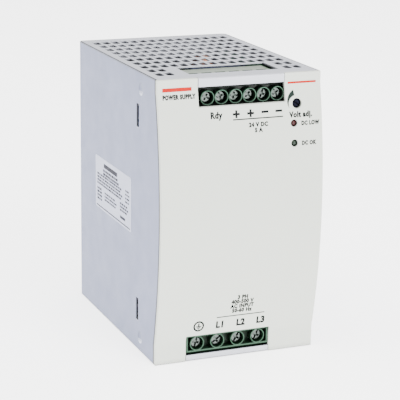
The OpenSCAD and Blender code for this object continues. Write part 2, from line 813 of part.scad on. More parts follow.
module tab_transistor(h) {
  difference() {
    block([0, 0, 0], [h, 4.6, 15]);
    translate([4, 0, 7.5]) ycyl(1.7, -1, 6);
  }
  for (z = [2.5, 7.5, 12.5]) block([h - eps, 2, z - 0.5], [h + 10, 2.6, z + 0.5]);
}

module power_transistors() {
  color([0.11, 0.11, 0.12]) for (z = [55, 76]) translate([0, -13.5, z]) tab_transistor(21);
}

// Ferrite frame with a middle limb, seen along Y
module transformer_core() {
  color([0.22, 0.22, 0.24]) difference() {
    block([-12, -2, 51.5], [26, 14, 91.5]);
    for (z = [58, 76.5]) block([-5, -3, z], [19, 15, z + 8.5]);
  }
}

module transformer_winding() {
  color([0.93, 0.78, 0.25]) {
    difference() {
      block([-4.6, -7, 58.4], [18.6, 19, 84.6]);
      block([-6, -2.2, 66.3], [20, 14.2, 76.7]);
    }
    for (y = [-6, 16.5]) block([18.6 - eps, y, 60], [mboard_x, y + 1.5, 83]);
  }
}

module secondary_heat_sink() {
  color([0.74, 0.75, 0.76]) {
    block([-22, -8, 97.5], [28.5, 20, 100]);
    for (k = [0 : 4]) block([-22 + k * 6, -8, 94], [-20.2 + k * 6, 20, 97.5 + eps]);
  }
}

module output_rectifiers() {
  color([0.11, 0.11, 0.12]) for (y = [-6.5, 5.5]) {
    difference() {
      block([5, y, 100], [20, y + 10, 102.6]);
      translate([8, y + 5, 99]) cylinder(r = 1.7, h = 5);
    }
    for (k = [2.5, 5, 7.5]) block([20 - eps, y + k - 0.4, 101], [mboard_x, y + k + 0.4, 101.6]);
  }
}

module output_choke() {
  color([0.66, 0.36, 0.18]) translate([0, 36, 107.5]) {
    rotate([0, 90, 0]) translate([0, 0, 20]) rotate_extrude() translate([7, 0]) circle(r = 3.1, $fn = 32);
    for (s = [-1, 1]) block([20, s * 7 - 0.5, -0.5], [mboard_x, s * 7 + 0.5, 0.5]);
  }
}

module output_capacitors() {
  color([0.14, 0.14, 0.16])
    for (y = [-12.4, 0.8, 14]) translate([0, y, 110]) can_capacitor(6.25, 4, mboard_x);
}

module ready_relay() {
  color([0.86, 0.87, 0.86]) {
    block([-24, tboard_y + board_t + 0.4, 100], [-12, tboard_y + board_t + 15.4, 110]);
    for (x = [-22, -14], z = [102, 108])
      block([x - 0.3, tboard_y + board_t, z - 0.3], [x + 0.3, tboard_y + board_t + 0.5, z + 0.3]);
  }
}

/* ---------- drawing ---------- */

chassis();
top_vent_panel();
bottom_vent_panel();
front_cover();
rating_label();
insulation_sheet();
countersunk_screws();
rail_bracket();
rail_latch();
latch_spring();
main_pcb();
terminal_pcb();
indicator_pcb();
board_standoffs();
board_screws();
board_links();
output_block();
output_contacts();
output_screw(1);  // output_screw_1
output_screw(2);  // output_screw_2
output_screw(3);  // output_screw_3
output_screw(4);  // output_screw_4
output_screw(5);  // output_screw_5
output_screw(6);  // output_screw_6
output_clamp(1);  // output_clamp_1
output_clamp(2);  // output_clamp_2
output_clamp(3);  // output_clamp_3
output_clamp(4);  // output_clamp_4
output_clamp(5);  // output_clamp_5
output_clamp(6);  // output_clamp_6
input_block();
input_contacts();
input_screw(1);  // input_screw_1
input_screw(2);  // input_screw_2
input_screw(3);  // input_screw_3
input_screw(4);  // input_screw_4
input_clamp(1);  // input_clamp_1
input_clamp(2);  // input_clamp_2
input_clamp(3);  // input_clamp_3
input_clamp(4);  // input_clamp_4
trimmer_body();
trimmer_rotor();
lamp_dc_low();
lamp_dc_ok();
input_fuses();
varistors();
choke_core();
choke_windings();
x_capacitors();
bridge_rectifier();
bulk_capacitors();
primary_heat_sink();
power_transistors();
transformer_core();
transformer_winding();
secondary_heat_sink();
output_rectifiers();
output_choke();
output_capacitors();
ready_relay();
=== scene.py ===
import json
import math
import random

import bmesh
import bpy
from mathutils import Matrix, Vector


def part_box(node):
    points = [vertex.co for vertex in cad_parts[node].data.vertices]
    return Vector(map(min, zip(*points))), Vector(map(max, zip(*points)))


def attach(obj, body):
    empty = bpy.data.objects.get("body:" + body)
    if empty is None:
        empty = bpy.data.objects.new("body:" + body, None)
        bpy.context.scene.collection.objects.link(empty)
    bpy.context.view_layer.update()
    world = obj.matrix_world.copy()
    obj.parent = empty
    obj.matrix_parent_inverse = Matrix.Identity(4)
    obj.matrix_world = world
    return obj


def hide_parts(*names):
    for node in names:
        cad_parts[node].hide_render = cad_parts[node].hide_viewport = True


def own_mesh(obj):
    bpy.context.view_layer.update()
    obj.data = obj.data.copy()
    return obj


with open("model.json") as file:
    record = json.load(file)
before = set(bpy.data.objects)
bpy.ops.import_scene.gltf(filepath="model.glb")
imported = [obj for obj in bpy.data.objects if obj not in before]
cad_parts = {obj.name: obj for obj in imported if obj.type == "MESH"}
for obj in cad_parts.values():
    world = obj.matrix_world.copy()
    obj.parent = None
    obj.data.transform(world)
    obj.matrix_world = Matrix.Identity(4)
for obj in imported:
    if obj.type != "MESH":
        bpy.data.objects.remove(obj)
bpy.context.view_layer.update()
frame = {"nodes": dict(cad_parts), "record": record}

MM = 0.001

# The case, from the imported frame
COVER_LO, COVER_HI = (Vector(c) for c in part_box("front_cover"))
CASE_LO, CASE_HI = (Vector(c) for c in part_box("chassis"))
LABEL_LO, LABEL_HI = (Vector(c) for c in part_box("rating_label"))
LEFT = COVER_LO.x
CROWN_RISE = 6.0 * MM
FLAT_LOW = 9.2 * MM
FLAT_HIGH = COVER_HI.z - 5.1 * MM
FRONT = COVER_LO.y + CROWN_RISE
CROWN_HALF = (FLAT_HIGH - FLAT_LOW) / 2
CROWN_MID = (FLAT_HIGH + FLAT_LOW) / 2
CROWN_R = (CROWN_HALF ** 2 + CROWN_RISE ** 2) / (2 * CROWN_RISE)
# The walls start this far behind the outside of the front
WALL_SETBACK = 1.9 * MM
# The catches of the front reach further back than this
CATCH_DEPTH = 12 * MM
# Just under the open upper face of the output block
TOP_OF_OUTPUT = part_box("output_block")[1][2] - 1.5 * MM

# Thicknesses of print and label, and the width of shadow lines
INK_LIFT = 0.02 * MM
FILM_LIFT = 0.07 * MM
SEAM_SHADOW = 0.9 * MM
EDGE_SHADOW = 0.5 * MM

# Height of a capital letter as a share of the text's size
CAPITAL = 0.69

# Dark tones of unlit metal and of the inside of the case
SEAM_TONE = (0.03, 0.032, 0.04)
EDGE_TONE = (0.05, 0.052, 0.065)
SLOT_TONE = (0.07, 0.073, 0.085)
CAVE_TONE = (0.010, 0.011, 0.013)


def crown_y(z):
    """Y of the outside of the front at height z."""
    if z <= FLAT_LOW or z >= FLAT_HIGH:
        return FRONT
    return COVER_LO.y + CROWN_R - math.sqrt(CROWN_R ** 2 - (z - CROWN_MID) ** 2)


# ---------------------------------------------------------------- materials

class Surface:
    """A Principled material whose colour, roughness and relief come from procedural nodes."""

    def __init__(self, name, color, roughness, metallic=0.0, specular=0.5, coat=0.0):
        self.mat = bpy.data.materials.new(name)
        self.mat.use_nodes = True
        self.tree = self.mat.node_tree
        self.bsdf = self.tree.nodes["Principled BSDF"]
        self.color = (*color, 1.0)
        self.roughness = roughness
        self.mat.diffuse_color = self.color
        self.bsdf.inputs["Metallic"].default_value = metallic
        self.bsdf.inputs["Specular IOR Level"].default_value = specular
        self.bsdf.inputs["Coat Weight"].default_value = coat
        self.bsdf.inputs["Base Color"].default_value = self.color
        self.bsdf.inputs["Roughness"].default_value = roughness
        self.coord = self.node("ShaderNodeTexCoord").outputs["Object"]
        self.relief = None
        self.tint = None
        self.polish = None

    def node(self, kind, **settings):
        made = self.tree.nodes.new(kind)
        for key, value in settings.items():
            setattr(made, key, value)
        return made

    def link(self, source, target):
        self.tree.links.new(source, target)

    def noise(self, size, detail, stretch=(1, 1, 1), offset=(0, 0, 0)):
        """Noise whose features are about size metres, drawn out along each axis by stretch."""
        place = self.node("ShaderNodeMapping")
        place.inputs["Scale"].default_value = [1 / (size * s) for s in stretch]
        place.inputs["Location"].default_value = offset
        self.link(self.coord, place.inputs["Vector"])
        made = self.node("ShaderNodeTexNoise")
        made.inputs["Scale"].default_value = 1.0
        made.inputs["Detail"].default_value = detail
        made.inputs["Roughness"].default_value = 0.55
        self.link(place.outputs["Vector"], made.inputs["Vector"])
        return made.outputs["Fac"]

    def span(self, value, low, high, to_low=0.0, to_high=1.0):
        """Value, mapped from low..high to to_low..to_high and kept within them."""
        made = self.node("ShaderNodeMapRange", clamp=True)
        for key, number in (("From Min", low), ("From Max", high), ("To Min", to_low), ("To Max", to_high)):
            made.inputs[key].default_value = number
        self.link(value, made.inputs["Value"])
        return made.outputs["Result"]

    def math(self, operation, a, b=0):
        """An operation on two values, each a number or a socket."""
        made = self.node("ShaderNodeMath", operation=operation)
        for slot, value in ((0, a), (1, b)):
            if isinstance(value, (int, float)):
                made.inputs[slot].default_value = value
            else:
                self.link(value, made.inputs[slot])
        return made.outputs[0]

    def blend(self, factor, under, over):
        """Colour under, replaced by over where factor is one. Either colour may be a socket."""
        made = self.node("ShaderNodeMix", data_type="RGBA")
        self.link(factor, made.inputs["Factor"])
        for slot, value in ((6, under), (7, over)):
            if hasattr(value, "links"):
                self.link(value, made.inputs[slot])
            else:
                made.inputs[slot].default_value = value if len(value) == 4 else (*value, 1.0)
        return made.outputs[2]

    def mottle(self, size, amount):
        """Slow change of shade over the surface."""
        shade = self.span(self.noise(size, 3.0), 0.3, 0.7)
        dark = [c * (1 - amount) for c in self.color[:3]]
        light = [min(1.0, c * (1 + amount)) for c in self.color[:3]]
        self.tint = self.blend(shade, dark, light)
        return self

    def shade(self, factor, color):
        """Mixes a colour in where factor is one."""
        self.tint = self.blend(factor, self.tint if self.tint else self.color, color)
        return self

    def vary_roughness(self, size, amount):
        """Slow change of polish over the surface."""
        fac = self.noise(size, 5.0, offset=(3, 1, 7))
        self.polish = self.span(fac, 0.3, 0.7, self.roughness - amount, self.roughness + amount)
        return self

    def grain(self, size, depth, stretch=(1, 1, 1)):
        """Relief of about depth metres and features of about size metres."""
        bump = self.node("ShaderNodeBump")
        bump.inputs["Strength"].default_value = 1.0
        bump.inputs["Distance"].default_value = depth
        self.link(self.noise(size, 3.0, stretch, (5, 9, 2)), bump.inputs["Height"])
        if self.relief:
            self.link(self.relief, bump.inputs["Normal"])
        self.relief = bump.outputs["Normal"]
        return self

    def edge_mask(self, radius):
        """One on sharp outer and inner edges, zero on flat faces."""
        bevel = self.node("ShaderNodeBevel", samples=4)
        bevel.inputs["Radius"].default_value = radius
        geometry = self.node("ShaderNodeNewGeometry")
        dot = self.node("ShaderNodeVectorMath", operation="DOT_PRODUCT")
        self.link(bevel.outputs["Normal"], dot.inputs[0])
        self.link(geometry.outputs["Normal"], dot.inputs[1])
        return self.span(self.math("SUBTRACT", 1.0, dot.outputs["Value"]), 0.02, 0.25)

    def wear_and_edge_glint(self, radius, color, strength, size=2.5 * MM):
        """Lighter edges, broken up by noise: partly rubbed wear, partly painted highlight where edges catch
        the light.
        """
        patchy = self.span(self.noise(size, 6.0, offset=(8, 4, 6)), 0.4, 0.62, 0.15, 1.0)
        worn_and_lit = self.math("MULTIPLY", self.math("MULTIPLY", self.edge_mask(radius), patchy), strength)
        return self.shade(worn_and_lit, color)

    def axes(self, vector):
        """The x, y and z of a vector socket."""
        parts = self.node("ShaderNodeSeparateXYZ")
        self.link(vector, parts.inputs[0])
        return parts.outputs

    def normal(self):
        """The x, y and z of the face's own direction."""
        return self.axes(self.node("ShaderNodeNewGeometry").outputs["True Normal"])

    def place(self):
        """The x, y and z of the point in the object's own coordinates."""
        return self.axes(self.coord)

    def facing(self, axis, low, high, color, strength):
        """Painted light and shade: a colour on faces whose normal turns towards +axis (0, 1 or 2), or away
        from it if high is below low.
        """
        return self.shade(self.span(self.normal()[axis], low, high, 0.0, strength), color)

    def beyond(self, axis, limit):
        """One where the object's own coordinate passes a limit."""
        return self.math("GREATER_THAN", self.place()[axis], limit)

    def above(self, height, color, strength):
        """Painted light: a colour on upward faces above a height."""
        level = self.span(self.normal()[2], 0.9, 0.99, 0.0, strength)
        return self.shade(self.math("MULTIPLY", level, self.beyond(2, height)), color)

    def crevice(self, distance, color, low, high, strength=1.0):
        """Painted shade: deep corners and wells turn towards a darker colour, by ambient occlusion."""
        occlusion = self.node("ShaderNodeAmbientOcclusion", samples=8)
        occlusion.inputs["Distance"].default_value = distance
        deep = self.span(occlusion.outputs["AO"], low, high, strength, 0.0)
        return self.shade(deep, color)

    def enclosed(self):
        """Dusk inside the case: little light gets past its walls."""
        return self.crevice(25 * MM, [c * 0.15 for c in self.color[:3]], 0.15, 0.65, 0.9)

    def done(self):
        if self.tint:
            self.link(self.tint, self.bsdf.inputs["Base Color"])
        if self.polish:
            self.link(self.polish, self.bsdf.inputs["Roughness"])
        if self.relief:
            self.link(self.relief, self.bsdf.inputs["Normal"])
        return self.mat


def joint_shadows(look):
    """Shadow lines where the walls meet the front, the top panel and the floor."""
    _, y, z = look.place()
    across = look.math("SUBTRACT", y, COVER_LO.y + CROWN_R + WALL_SETBACK)
    up = look.math("SUBTRACT", z, CROWN_MID)
    squares = look.math("ADD", look.math("MULTIPLY", across, across), look.math("MULTIPLY", up, up))
    reach = look.math("SQRT", squares)
    crowned = look.math("LESS_THAN", look.math("ABSOLUTE", up), CROWN_HALF)
    along_crown = look.math("MULTIPLY", crowned, look.math("GREATER_THAN", reach, CROWN_R - SEAM_SHADOW))
    near_flat = look.math("LESS_THAN", y, FRONT + WALL_SETBACK + SEAM_SHADOW)
    along_flat = look.math("MULTIPLY", look.math("SUBTRACT", 1.0, crowned), near_flat)
    look.shade(look.math("MULTIPLY", look.math("ADD", along_crown, along_flat), 0.8), SEAM_TONE)
    under_top = look.math("GREATER_THAN", z, CASE_HI.z - EDGE_SHADOW)
    over_floor = look.math("LESS_THAN", z, EDGE_SHADOW)
    for edge in (under_top, over_floor):
        look.shade(look.math("MULTIPLY", edge, 0.6), EDGE_TONE)


def sheet_metal():
    """Satin sheet with a very fine rolled grain, soft smudges and a dim inside, with painted light and
    shade: highlights on faces that tip a little upward, shade on faces that point steeply up, down or to
    the front.
    """
    look = Surface("sheet_metal", (0.150, 0.172, 0.275), 0.44, metallic=0.25)
    look.mottle(26 * MM, 0.03).vary_roughness(9 * MM, 0.05)
    look.grain(0.35 * MM, 0.006 * MM, stretch=(1, 1, 7)).grain(1.6 * MM, 0.004 * MM)
    # Painted highlight on faces that tip a little upward, such as the dimples' lower slopes, and painted
    # shade on faces that point steeply up
    look.facing(2, 0.06, 0.26, (0.60, 0.63, 0.74), 0.85).facing(2, 0.45, 0.65, (0.035, 0.038, 0.05), 0.9)
    # Painted shade on faces that point down
    look.facing(2, -0.02, -0.6, (0.05, 0.055, 0.07), 0.7)
    joint_shadows(look)
    # Painted shade deep inside the case
    look.crevice(30 * MM, CAVE_TONE, 0.12, 0.50)
    look.wear_and_edge_glint(0.3 * MM, (0.50, 0.52, 0.58), 0.25)
    # Painted shadow on faces that point to the front, at the seam behind the front cover
    return look.facing(1, -0.15, -0.6, (0.03, 0.032, 0.036), 0.95).done()


def vent_metal():
    """The case's sheet in a brighter copy for the vent panels, as painted light, with painted shade on the
    sides of its slots and deep inside.
    """
    look = Surface("vent_metal", (0.46, 0.47, 0.52), 0.42, metallic=0.2)
    look.mottle(22 * MM, 0.03).vary_roughness(7 * MM, 0.05)
    look.grain(0.35 * MM, 0.006 * MM, stretch=(1, 7, 1)).grain(1.6 * MM, 0.004 * MM)
    look.wear_and_edge_glint(0.25 * MM, (0.74, 0.75, 0.78), 0.4)
    # Painted shade on the side walls of the slots
    look.facing(0, 0.5, 0.9, SLOT_TONE, 0.8).facing(0, -0.5, -0.9, SLOT_TONE, 0.8)
    # Painted shade deep in the slots and inside the case
    return look.crevice(6 * MM, CAVE_TONE, 0.15, 0.60).done()


def front_plastic():
    """Fine spark-eroded texture of a moulded housing, with painted shade in its recesses, on faces turned
    to the back and on the hidden catches, which are darker.
    """
    look = Surface("front_plastic", (0.520, 0.545, 0.490), 0.50, specular=0.3)
    look.mottle(35 * MM, 0.012).vary_roughness(5 * MM, 0.04)
    look.grain(0.28 * MM, 0.014 * MM).grain(30 * MM, 0.02 * MM)
    # Painted shade in recesses such as the trimmer's hole
    look.crevice(5 * MM, (0.012, 0.014, 0.016), 0.30, 0.62)
    look.wear_and_edge_glint(0.5 * MM, (0.72, 0.73, 0.71), 0.45)
    # Painted shade on faces turned towards the back
    look.facing(1, 0.15, 0.6, (0.03, 0.032, 0.034), 0.95)
    # Painted shade: the catches behind the front, seen through the side slots, are darker
    return look.shade(look.beyond(1, FRONT + CATCH_DEPTH), (0.14, 0.19, 0.20)).done()


def terminal_plastic(name, color, deep, top):
    """Moulded housing; above height top the open upper face catches the light."""
    look = Surface(name, color, 0.36, specular=0.2)
    look.mottle(6 * MM, 0.05).vary_roughness(3 * MM, 0.06)
    look.grain(0.3 * MM, 0.01 * MM)
    # Painted shade in the pockets between the rings, towards the colour deep, and painted light on the open
    # upper face above height top
    look.crevice(6 * MM, deep, 0.40, 0.95).above(top, (0.24, 0.27, 0.22), 0.85)
    # Painted highlights on the rims, together with wear
    return look.wear_and_edge_glint(0.2 * MM, [c * 1.8 + 0.04 for c in color], 0.7, 1.5 * MM).done()


def plain_plastic(name, color, roughness, specular=0.35):
    look = Surface(name, color, roughness, specular=specular)
    look.mottle(8 * MM, 0.05).vary_roughness(4 * MM, 0.06)
    look.grain(0.35 * MM, 0.012 * MM).enclosed()
    return look.wear_and_edge_glint(0.25 * MM, [min(1, c * 1.6) for c in color], 0.5).done()


def plated_steel(name, color, roughness, grain_axis=(1, 1, 1)):
    look = Surface(name, color, roughness, metallic=1.0)
    look.mottle(2.5 * MM, 0.08).vary_roughness(1.5 * MM, 0.09)
    look.grain(0.22 * MM, 0.008 * MM, stretch=grain_axis)
    # Painted shade in recesses, such as the cross of a screw head
    look.crevice(1.0 * MM, [c * 0.06 for c in color], 0.45, 0.85, 0.95)
    # Painted highlights on edges, together with wear
    return look.wear_and_edge_glint(0.15 * MM, [min(1.0, c * 2.6) for c in color], 0.7, 1.2 * MM).done()


def tinted_lens(name, color):
    look = Surface(name, color, 0.16, specular=0.2, coat=0.1)
    look.mottle(1.2 * MM, 0.10).vary_roughness(1 * MM, 0.05)
    look.grain(0.4 * MM, 0.004 * MM)
    # Painted shade in the hollows round the lens
    return look.crevice(0.8 * MM, [c * 0.25 for c in color], 0.2, 0.7, 0.8).done()


def ink(name, color):
    look = Surface(name, color, 0.55, specular=0.08)
    look.mottle(1.5 * MM, 0.10).vary_roughness(1 * MM, 0.08)
    return look.grain(0.2 * MM, 0.004 * MM).done()


def label_film():
    look = Surface("label_film", (0.30, 0.325, 0.46), 0.34, specular=0.5, coat=0.15)
    look.mottle(12 * MM, 0.012).vary_roughness(6 * MM, 0.05)
    return look.grain(0.6 * MM, 0.004 * MM).wear_and_edge_glint(0.3 * MM, (0.70, 0.70, 0.72), 0.4).done()


def board_laminate():
    look = Surface("board", (0.03, 0.16, 0.07), 0.34, specular=0.5, coat=0.2)
    look.mottle(4 * MM, 0.15).vary_roughness(3 * MM, 0.08)
    look.grain(0.5 * MM, 0.012 * MM, stretch=(1, 3, 3))
    return look.wear_and_edge_glint(0.2 * MM, (0.35, 0.38, 0.20), 0.7).enclosed().done()


def wound_wire():
    look = Surface("copper", (0.58, 0.22, 0.09), 0.33, metallic=0.8)
    look.mottle(1.2 * MM, 0.2).vary_roughness(1 * MM, 0.1)
    # Painted shade in the hollows of the winding
    look.grain(0.9 * MM, 0.25 * MM, stretch=(6, 1, 1)).crevice(1.5 * MM, (0.10, 0.04, 0.02), 0.2, 0.8, 0.8)
    return look.enclosed().done()


def core_ceramic(name, color, roughness):
    look = Surface(name, color, roughness)
    look.mottle(3 * MM, 0.12).vary_roughness(2 * MM, 0.08)
    look.grain(0.5 * MM, 0.04 * MM).wear_and_edge_glint(0.3 * MM, [min(1, c * 1.6 + 0.05) for c in color], 0.6)
    return look.enclosed().done()


MATERIALS = {
    "sheet_metal": sheet_metal(),
    "vent_metal": vent_metal(),
    "front_plastic": front_plastic(),
    "label": label_film(),
    "insulator": plain_plastic("insulator", (0.80, 0.79, 0.70), 0.4),
    "zinc_steel": plated_steel("zinc_steel", (0.66, 0.67, 0.68), 0.34, (1, 1, 5)),
    "dark_plastic": plain_plastic("dark_plastic", (0.022, 0.024, 0.026), 0.48),
    "spring_steel": plated_steel("spring_steel", (0.52, 0.53, 0.55), 0.28),
    "board": board_laminate(),
    "brass": plated_steel("brass", (0.72, 0.55, 0.26), 0.32),
    "terminal_green": terminal_plastic(
        "terminal_green", (0.034, 0.080, 0.051), (0.001, 0.005, 0.002), TOP_OF_OUTPUT),
    "terminal_light_green": terminal_plastic(
        "terminal_light_green", (0.030, 0.074, 0.044), (0.003, 0.012, 0.005), CASE_HI.z),
    "screw_steel": plated_steel("screw_steel", (0.085, 0.100, 0.092), 0.24),
    "trimmer_blue": plain_plastic("trimmer_blue", (0.003, 0.004, 0.016), 0.5, 0.05),
    "trimmer_black": plain_plastic("trimmer_black", (0.003, 0.0035, 0.010), 0.5, 0.05),
    "lens_red": tinted_lens("lens_red", (0.030, 0.004, 0.004)),
    "lens_green": tinted_lens("lens_green", (0.010, 0.020, 0.012)),
    "fuse_body": core_ceramic("fuse_body", (0.70, 0.68, 0.60), 0.35),
    "varistor_blue": plain_plastic("varistor_blue", (0.03, 0.13, 0.42), 0.40),
    "ferrite": core_ceramic("ferrite", (0.035, 0.035, 0.038), 0.5),
    "copper": wound_wire(),
    "film_capacitor": plain_plastic("film_capacitor", (0.70, 0.46, 0.04), 0.38),
    "black_epoxy": plain_plastic("black_epoxy", (0.018, 0.018, 0.02), 0.45),
    "capacitor_sleeve": plain_plastic("capacitor_sleeve", (0.018, 0.025, 0.075), 0.28),
    "heat_sink": plated_steel("heat_sink", (0.66, 0.67, 0.68), 0.42, (1, 1, 6)),
    "winding_tape": plain_plastic("winding_tape", (0.75, 0.50, 0.06), 0.36),
    "relay_case": plain_plastic("relay_case", (0.70, 0.71, 0.70), 0.42),
}
INK_DARK = ink("ink_dark", (0.004, 0.0045, 0.005))
INK_GREEN = ink("ink_green", (0.008, 0.015, 0.012))
INK_RED = ink("ink_red", (0.36, 0.010, 0.006))
INK_GREY = ink("ink_grey", (0.018, 0.019, 0.030))

SLOT_OF = {entry["node"]: entry["material_slot"] for entry in frame["record"]["subparts"]}
BODIES = frame["record"]["behaviour"]["bodies"]
BODY_OF = {node: body for body, members in BODIES.items() for node in members}


def dress(obj, material):
    obj.data.materials.clear()
    obj.data.materials.append(material)


# ---------------------------------------------------------------- pieces

def mesh_object(name, bm):
    mesh = bpy.data.meshes.new(name)
    bm.to_mesh(mesh)
    bm.free()
    obj = bpy.data.objects.new(name, mesh)
    bpy.context.scene.collection.objects.link(obj)
    return obj


def stand_for(obj, node):
    """Gives a new piece the body of the CAD node that it replaces, and the material of that node's slot."""
    dress(obj, MATERIALS[SLOT_OF[node]])
    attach(obj, BODY_OF[node])
    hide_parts(node)


def softened(node, width, segments=2, clamp=False):
    """A copy of a CAD node with its sharp edges rounded over, which stands for that node."""
    source = frame["nodes"][node]
    bm = bmesh.new()
    bm.from_mesh(source.data)
    bmesh.ops.remove_doubles(bm, verts=bm.verts, dist=1e-6)
    bmesh.ops.dissolve_limit(bm, angle_limit=math.radians(0.3), verts=bm.verts, edges=bm.edges)
    limit = math.radians(30)
    sharp = [e for e in bm.edges if len(e.link_faces) == 2 and e.calc_face_angle(0) > limit]
    bmesh.ops.bevel(bm, geom=sharp, offset=width, offset_type="OFFSET", segments=segments,
                    profile=0.5, affect="EDGES", clamp_overlap=clamp)
    bmesh.ops.triangulate(bm, faces=[f for f in bm.faces if len(f.verts) > 4])
    obj = mesh_object(node + "_skin", bm)
    obj.data.shade_smooth()
    obj.data.set_sharp_from_angle(angle=math.radians(50))
    normals = obj.modifiers.new("normals", "WEIGHTED_NORMAL")
    normals.keep_sharp = True
    normals.weight = 100
    bake_modifiers(obj)
    stand_for(obj, node)


def bake_modifiers(obj):
    graph = bpy.context.evaluated_depsgraph_get()
    mesh = bpy.data.meshes.new_from_object(obj.evaluated_get(graph))
    obj.modifiers.clear()
    old = obj.data
    obj.data = mesh
    bpy.data.meshes.remove(old)


def printed(name, shapes, material, surface, thickness=INK_LIFT):
    """Thin raised print: flat outlines in (across, up), laid on surface(across, up)."""
    bm = bmesh.new()
    for shape in shapes:
        for face in shape:
            low = [bm.verts.new(surface(a, u, 0.0)) for a, u in face]
            high = [bm.verts.new(surface(a, u, thickness)) for a, u in face]
            bm.faces.new(high)
            bm.faces.new(list(reversed(low)))
            for i in range(len(face)):
                j = (i + 1) % len(face)
                bm.faces.new((low[i], low[j], high[j], high[i]))
    bmesh.ops.recalc_face_normals(bm, faces=bm.faces)
    obj = mesh_object(name, bm)
    dress(obj, material)
    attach(obj, "root")
    return obj


def on_front(across, up, lift):
    """The crowned front: across is X, which grows towards the right."""
    return Vector((across, crown_y(up) - lift, up))


def on_left(across, up, lift):
    """The left wall: across is Y, which grows from the front towards the back."""
    return Vector((LABEL_HI.x - lift, across, up))


def lettering(text, x, z, cap_height, squeeze, weight, align="CENTER"):
    """Faces of a line of text, its capitals cap_height tall and centred on z."""
    curve = bpy.data.curves.new("text", "FONT")
    curve.body = text
    curve.size = 1.0
    curve.align_x = align
    curve.offset = weight
    curve.space_character = 1.0 + 2 * weight
    curve.resolution_u = 3
    holder = bpy.data.objects.new("text", curve)
    bpy.context.scene.collection.objects.link(holder)
    bpy.context.view_layer.update()
    mesh = bpy.data.meshes.new_from_object(holder.evaluated_get(bpy.context.evaluated_depsgraph_get()))
    bpy.data.objects.remove(holder)
    scale = cap_height / CAPITAL
    middle = CAPITAL / 2
    faces = []
    for polygon in mesh.polygons:
        corners = [mesh.vertices[v].co for v in polygon.vertices]
        faces.append([(x + c.x * scale * squeeze, z + (c.y - middle) * scale) for c in corners])
    bpy.data.meshes.remove(mesh)
    return faces


def bar(x0, x1, z0, z1):
    """A rectangle from x0 to x1 and from z0 to z1."""
    return [[(x0, z0), (x1, z0), (x1, z1), (x0, z1)]]


def ring(x, z, inner, outer):
    """A flat ring round (x, z)."""
    steps = 40
    faces = []
    for i in range(steps):
        a, b = (2 * math.pi * k / steps for k in (i, i + 1))
        faces.append([(x + r * math.cos(t), z + r * math.sin(t))
                      for r, t in ((inner, a), (outer, a), (outer, b), (inner, b))])
    return faces


def plus(x, z, size, weight):
    long, thin = size / 2, weight / 2
    upper = bar(x - thin, x + thin, z + thin, z + long)
    lower = bar(x - thin, x + thin, z - long, z - thin)
    return bar(x - long, x + long, z - thin, z + thin) + upper + lower


def minus(x, z, size, weight):
    return bar(x - size / 2, x + size / 2, z - weight / 2, z + weight / 2)


def horn(x, z, start, end, inner, outer):
    """A curved wedge round (x, z): a thin point at angle start, widest at angle end."""
    steps = 24
    point = 0.15 * MM
    faces = []
    for i in range(steps):
        corners = []
        for t, side in ((i / steps, 0), (i / steps, 1), ((i + 1) / steps, 1), ((i + 1) / steps, 0)):
            a = math.radians(start + (end - start) * t)
            radius = inner + side * (point + (outer - inner - point) * t ** 1.4)
            corners.append((x + radius * math.cos(a), z + radius * math.sin(a)))
        faces.append(corners)
    return faces


# ---------------------------------------------------------------- spring of the rail latch

def latch_spring():
    """A round-wire compression spring with closed ends, made at one length."""
    lo, hi = (Vector(c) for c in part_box("latch_spring"))
    wire = 0.3 * MM
    radius = (hi.x - lo.x) / 2 - wire
    middle = (lo + hi) / 2
    turns, steps, sides = 7, 28, 10
    closed = 2.15 * wire
    open_pitch = (hi.z - lo.z - 2 * wire - 2 * closed) / (turns - 2)
    bm = bmesh.new()
    loops = []
    for i in range(turns * steps + 1):
        t = i / steps
        ends = min(t, 1) + max(t - turns + 1, 0)
        rise = closed * ends + open_pitch * min(max(t - 1, 0), turns - 2)
        a = 2 * math.pi * t
        loop = []
        for k in range(sides):
            b = 2 * math.pi * k / sides
            r = radius + wire * math.cos(b)
            z = lo.z + wire + rise + wire * math.sin(b)
            loop.append(bm.verts.new((middle.x + r * math.cos(a), middle.y + r * math.sin(a), z)))
        loops.append(loop)
    for one, two in zip(loops, loops[1:]):
        for k in range(sides):
            j = (k + 1) % sides
            bm.faces.new((one[k], two[k], two[j], one[j]))
    bm.faces.new(loops[0])
    bm.faces.new(list(reversed(loops[-1])))
    bmesh.ops.recalc_face_normals(bm, faces=bm.faces)
    obj = mesh_object("latch_spring_coil", bm)
    obj.data.shade_smooth()
    obj.data.set_sharp_from_angle(angle=math.radians(60))
    stand_for(obj, "latch_spring")
    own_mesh(obj)


# ---------------------------------------------------------------- print on the front

def from_left(mm):
    """X of a point mm from the left edge of the front."""
    return LEFT + mm * MM


